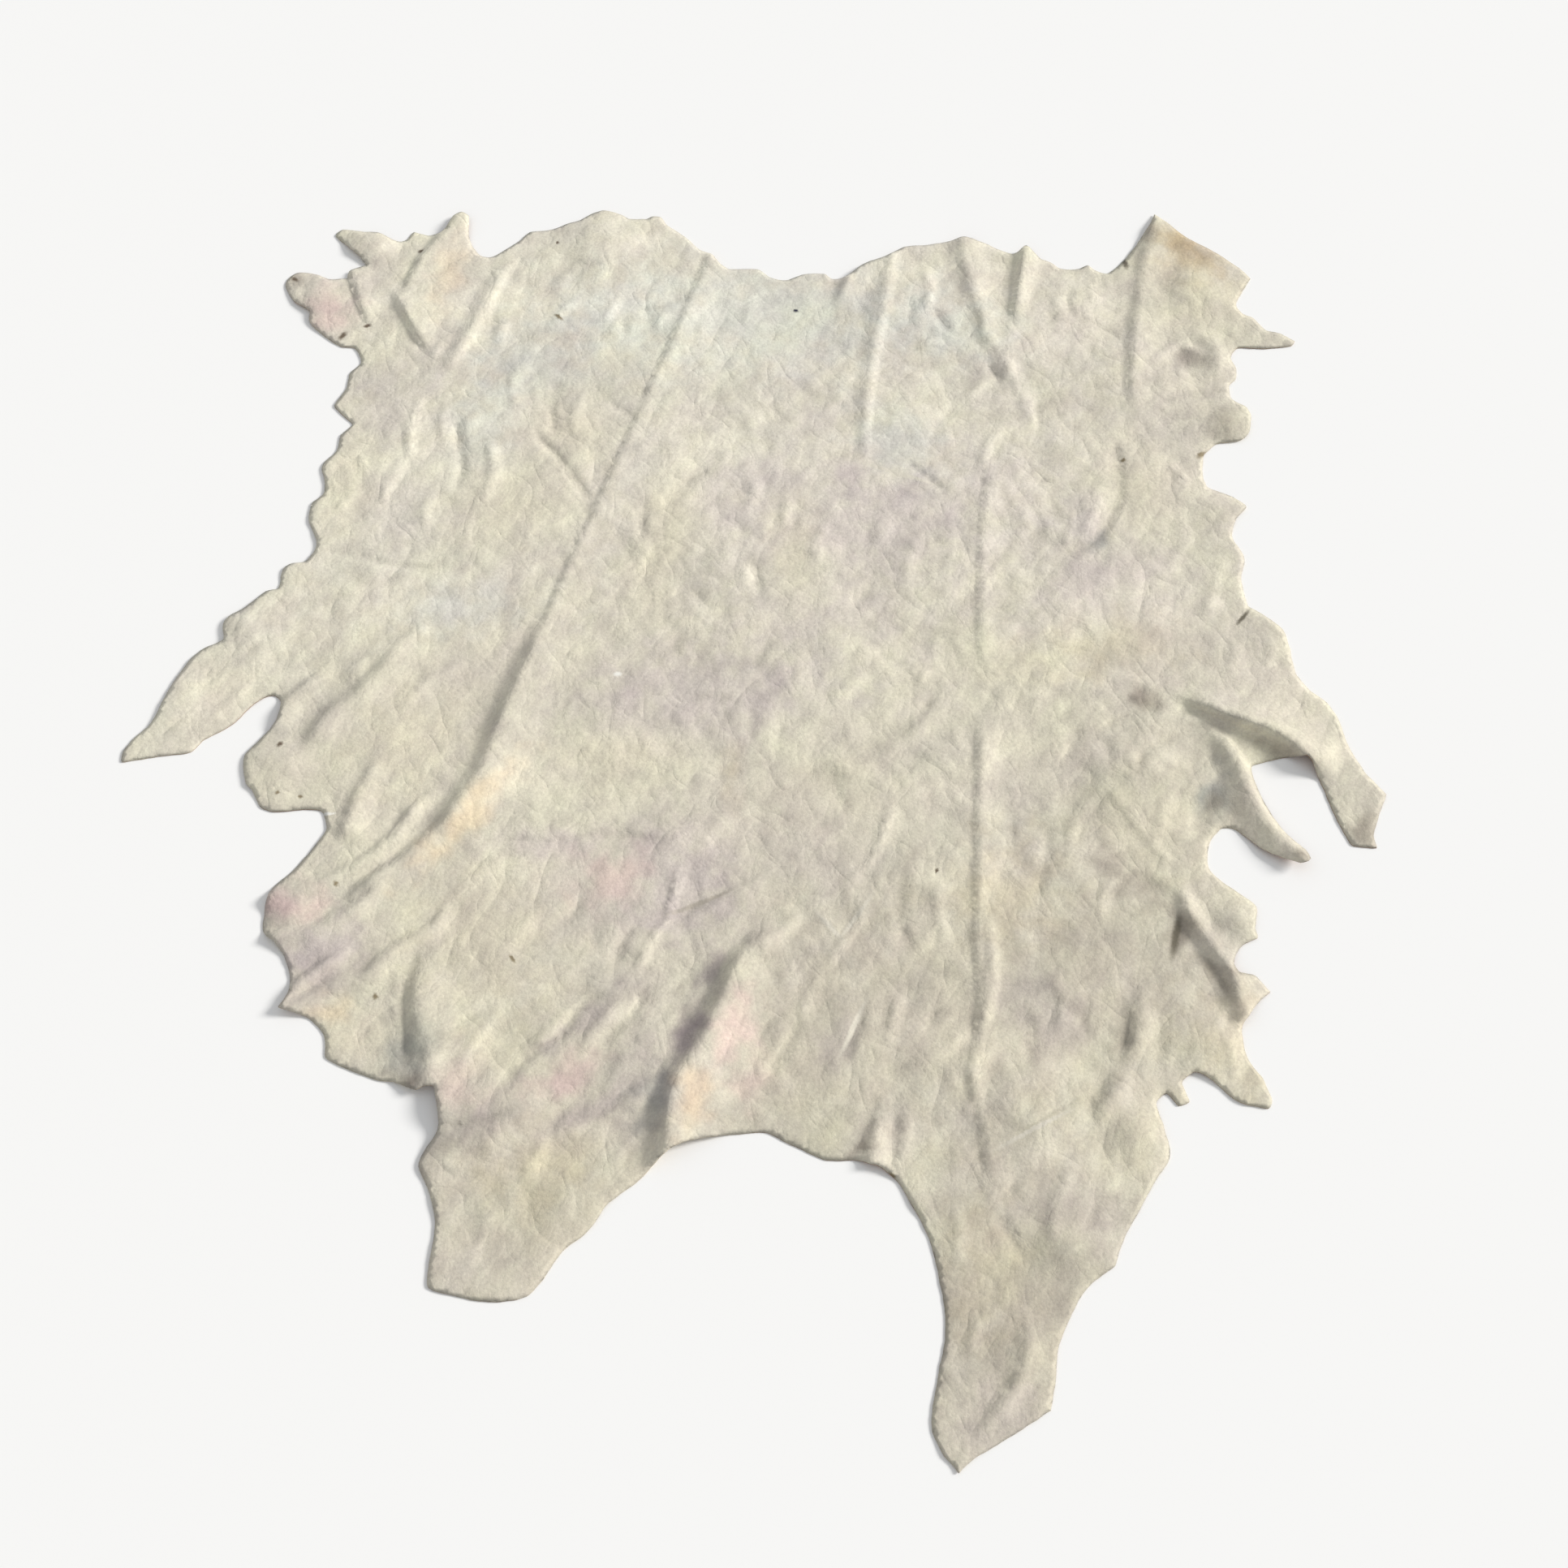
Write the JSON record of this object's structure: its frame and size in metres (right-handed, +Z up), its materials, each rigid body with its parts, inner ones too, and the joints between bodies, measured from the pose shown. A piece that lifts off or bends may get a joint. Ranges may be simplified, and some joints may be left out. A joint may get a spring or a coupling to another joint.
{
  "type": "cowhide rug",
  "caption": "Whole hide laid out leather side up: natural outline with neck, cheeks, fore and hind shanks, lying flat on the floor with soft raised folds.",
  "frame": {"origin": "on the floor, under the middle of the hide's bounding box", "axes": "+Z up from the floor, +Y from the hind shanks to the neck, +X to the right seen from above"},
  "size_m": [2, 2.2919, 0.0279],
  "materials": {
    "suede": "matte suede, mottled cream and grey-green"
  },
  "bodies": {
    "root": {"hide": "suede"}
  },
  "joints": []
}
